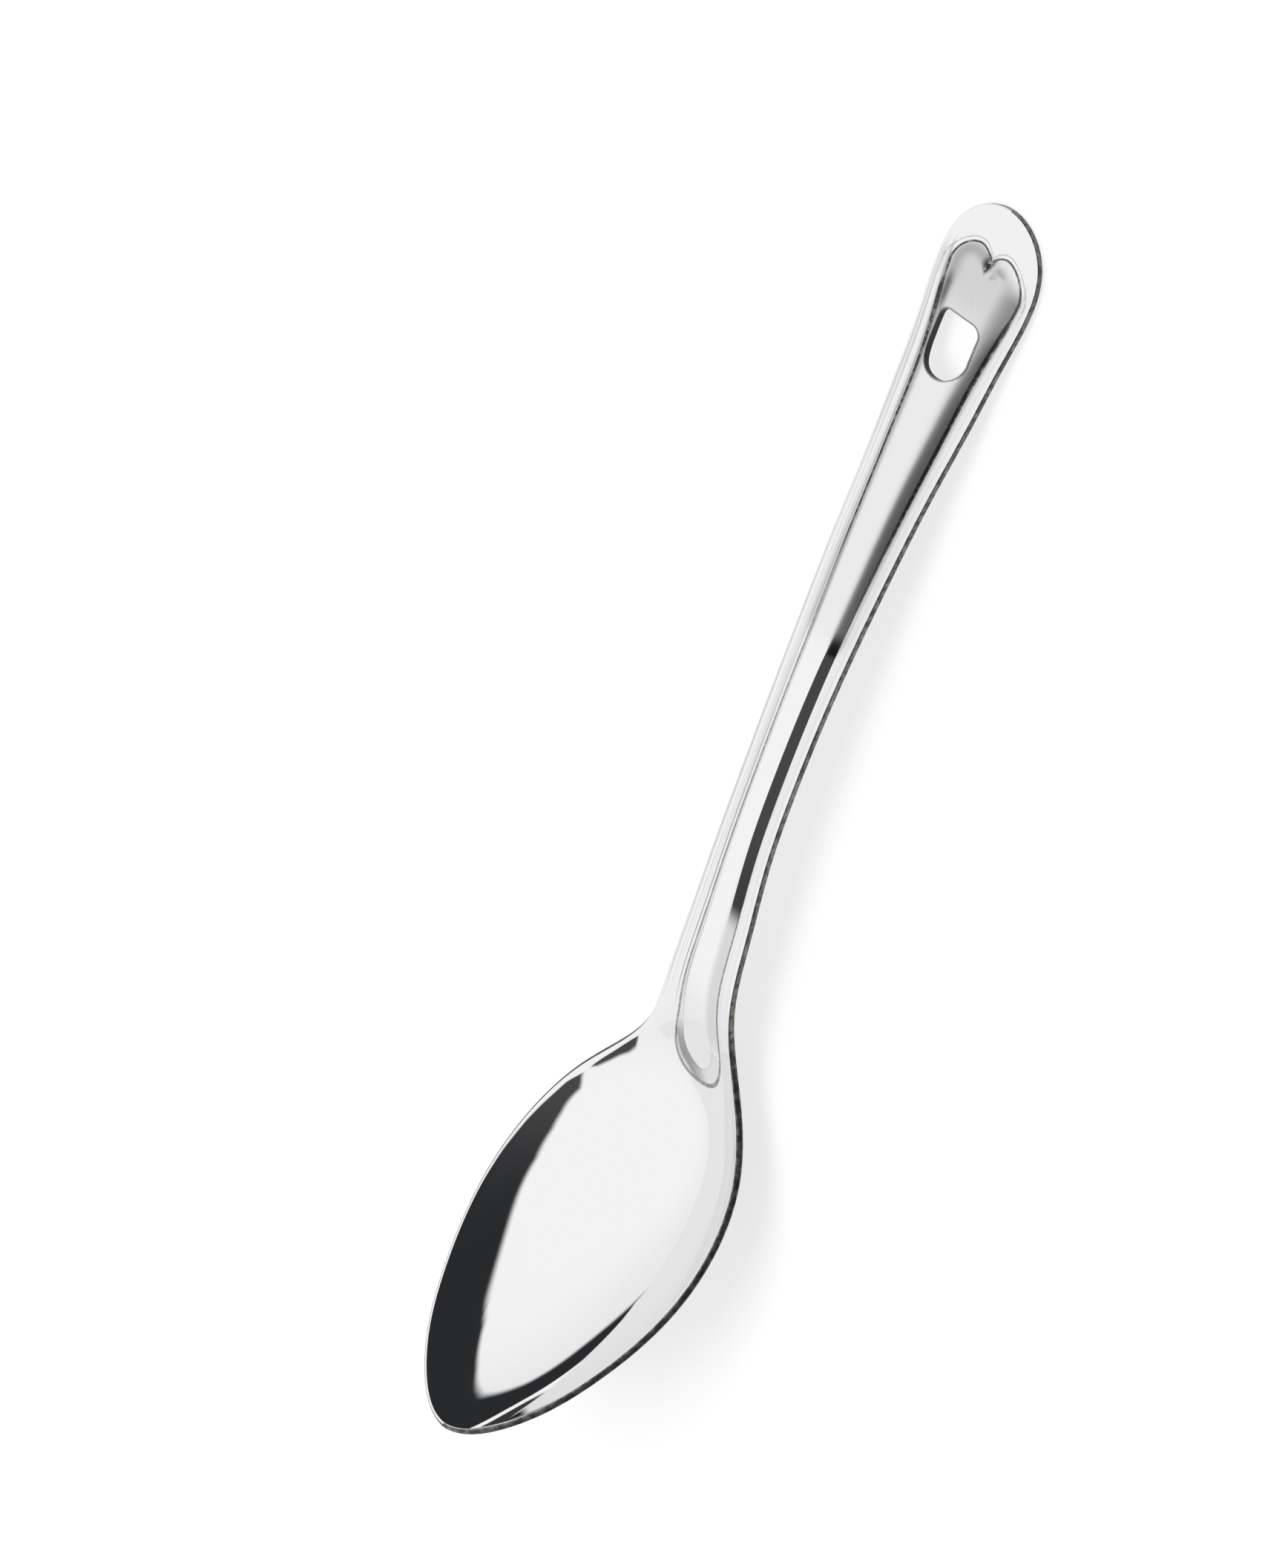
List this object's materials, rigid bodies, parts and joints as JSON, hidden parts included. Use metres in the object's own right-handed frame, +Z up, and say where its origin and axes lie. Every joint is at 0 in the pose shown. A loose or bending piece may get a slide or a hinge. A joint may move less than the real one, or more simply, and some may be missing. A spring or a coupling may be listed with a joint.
{
  "type": "serving spoon",
  "caption": "One-piece pressed steel serving spoon with a pointed oval bowl, a long arched handle with a raised centre rib ending in rounded lobes, and a hanging slot.",
  "frame": {"origin": "centre of the footprint, on the surface the spoon lies on", "axes": "+X from the bowl's tip to the handle's end, +Z up with the bowl's hollow facing up, Y across the spoon, which is symmetric about Y = 0"},
  "size_m": [0.307, 0.0638, 0.0509],
  "materials": {
    "polished_steel": "polished, mirror-like, with fine handling marks"
  },
  "bodies": {
    "root": {"spoon": "polished_steel"}
  },
  "joints": []
}
